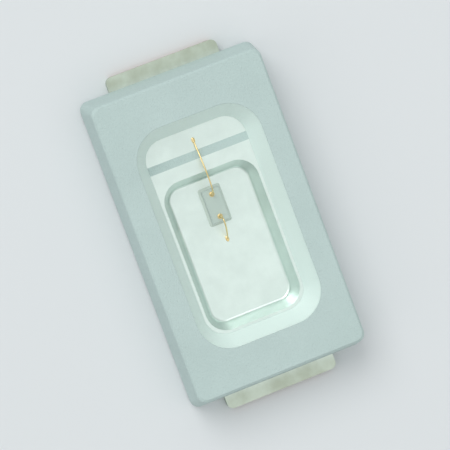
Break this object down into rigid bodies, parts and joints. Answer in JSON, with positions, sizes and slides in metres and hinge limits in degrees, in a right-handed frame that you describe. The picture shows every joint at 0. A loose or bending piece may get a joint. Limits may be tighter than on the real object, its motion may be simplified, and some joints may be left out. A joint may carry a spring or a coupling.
{
  "type": "surface-mount led",
  "caption": "Flat surface-mount light emitting diode: white moulded reflector housing, solder foot at each end, drawn metal cup with chip, bond wires and clear fill.",
  "frame": {"origin": "on the solder plane, under the middle of the package", "axes": "+X along the package towards the end with the small bonding pad, +Y across it, +Z out of the light-giving face"},
  "size_m": [0.0058, 0.003, 0.0009],
  "materials": {
    "white_plastic": "matte moulded",
    "silvered_copper": "silver plated, satin on the feet",
    "clear_adhesive": "cured, glossy",
    "sapphire_chip": "polished",
    "gold_wire": "drawn, bright",
    "clear_silicone": "clear, glossy"
  },
  "bodies": {
    "root": {"housing": "white_plastic", "anode_lead": "silvered_copper", "cathode_lead": "silvered_copper", "die_attach": "clear_adhesive", "led_chip": "sapphire_chip", "anode_bond_wire": "gold_wire", "cathode_bond_wire": "gold_wire", "encapsulant": "clear_silicone"}
  },
  "joints": []
}
